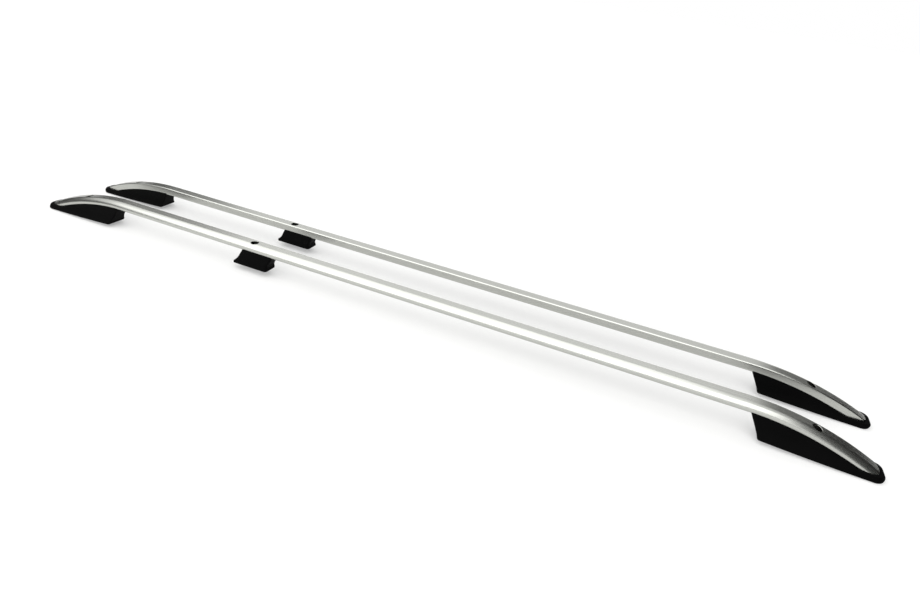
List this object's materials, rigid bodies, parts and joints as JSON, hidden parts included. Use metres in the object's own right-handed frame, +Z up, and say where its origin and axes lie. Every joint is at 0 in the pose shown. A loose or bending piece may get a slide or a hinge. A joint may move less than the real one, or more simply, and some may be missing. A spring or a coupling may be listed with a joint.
{
  "type": "roof side rail pair",
  "caption": "Pair of long aluminium roof side rails with bent-down ends, each standing on black moulded feet, with access holes for roof bolts.",
  "frame": {"origin": "centre of the pair's bounding box, on the floor that the feet's tips rest on", "axes": "+X along the rails towards the vehicle's rear, +Y towards the vehicle's right, +Z up"},
  "size_m": [2.412, 0.259, 0.083],
  "materials": {
    "anodised_aluminium": "satin",
    "foot_plastic": "matte",
    "gasket_rubber": "matte",
    "zinc_steel": "satin"
  },
  "bodies": {
    "root": {"left_tube": "anodised_aluminium", "left_front_foot": "foot_plastic", "left_middle_foot": "foot_plastic", "left_rear_foot": "foot_plastic", "left_front_foot_gasket": "gasket_rubber", "left_rear_foot_gasket": "gasket_rubber", "left_front_spacer": "zinc_steel", "left_middle_spacer": "zinc_steel", "left_rear_spacer": "zinc_steel", "left_front_foot_screws": "zinc_steel", "left_middle_foot_screws": "zinc_steel", "left_rear_foot_screws": "zinc_steel", "right_tube": "anodised_aluminium", "right_front_foot": "foot_plastic", "right_middle_foot": "foot_plastic", "right_rear_foot": "foot_plastic", "right_front_foot_gasket": "gasket_rubber", "right_rear_foot_gasket": "gasket_rubber", "right_front_spacer": "zinc_steel", "right_middle_spacer": "zinc_steel", "right_rear_spacer": "zinc_steel", "right_front_foot_screws": "zinc_steel", "right_middle_foot_screws": "zinc_steel", "right_rear_foot_screws": "zinc_steel"}
  },
  "joints": []
}
